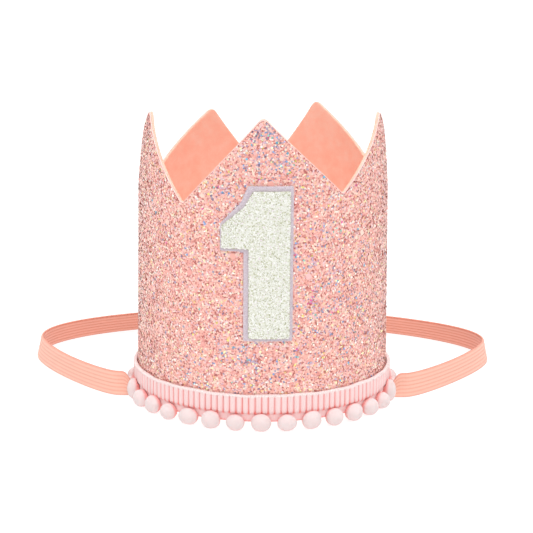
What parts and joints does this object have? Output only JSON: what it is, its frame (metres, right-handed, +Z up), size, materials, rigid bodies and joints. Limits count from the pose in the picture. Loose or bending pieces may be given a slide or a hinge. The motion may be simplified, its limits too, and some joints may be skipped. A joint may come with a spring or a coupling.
{
  "type": "party crown headband",
  "caption": "Child's felt party crown with a glitter shell, pointed top edge, plain appliqué numeral, pom-pom braid trim and an elastic headband loop.",
  "frame": {"origin": "on the crown's axis, level with the flat bottoms of the pom-poms that it stands on", "axes": "+Z up along the crown's axis, front with the numeral facing -Y, +X to the right of someone looking at the numeral, the headband loop lies towards +Y"},
  "size_m": [0.1938, 0.155, 0.1176],
  "materials": {
    "felt": "soft non-woven felt, peach",
    "glitter_fabric": "chunky glitter fabric, salmon pink with iridescent flakes",
    "numeral_backing": "pale lilac-grey felt",
    "numeral_glitter": "fine white glitter",
    "braid": "ribbed woven braid, pale pink",
    "pompom": "soft cut-pile pom-pom, pale pink",
    "elastic": "ribbed knitted elastic, peach"
  },
  "bodies": {
    "crown": {"felt_lining": "felt", "glitter_shell": "glitter_fabric", "numeral_backing": "numeral_backing", "numeral_face": "numeral_glitter", "trim_braid": "braid", "pompom_01": "pompom", "pompom_02": "pompom", "pompom_03": "pompom", "pompom_04": "pompom", "pompom_05": "pompom", "pompom_06": "pompom", "pompom_07": "pompom", "pompom_08": "pompom", "pompom_09": "pompom", "pompom_10": "pompom", "pompom_11": "pompom", "pompom_12": "pompom", "pompom_13": "pompom", "pompom_14": "pompom", "pompom_15": "pompom", "pompom_16": "pompom", "pompom_17": "pompom", "pompom_18": "pompom", "pompom_19": "pompom", "pompom_20": "pompom", "pompom_21": "pompom", "pompom_22": "pompom", "pompom_23": "pompom", "pompom_24": "pompom", "pompom_25": "pompom", "pompom_26": "pompom", "pompom_27": "pompom", "pompom_28": "pompom", "pompom_29": "pompom", "pompom_30": "pompom", "pompom_31": "pompom", "pompom_32": "pompom", "elastic_end_left": "elastic", "elastic_end_right": "elastic", "felt_patch_left": "felt", "felt_patch_right": "felt"},
    "headband": {"elastic_loop": "elastic"}
  },
  "joints": [
    {"name": "headband_swing", "type": "hinge", "parent": "crown", "child": "headband", "pos_m": [0, -0.00883, 0.005], "axis": [1, 0, 0], "range_deg": [-90, 45]}
  ]
}
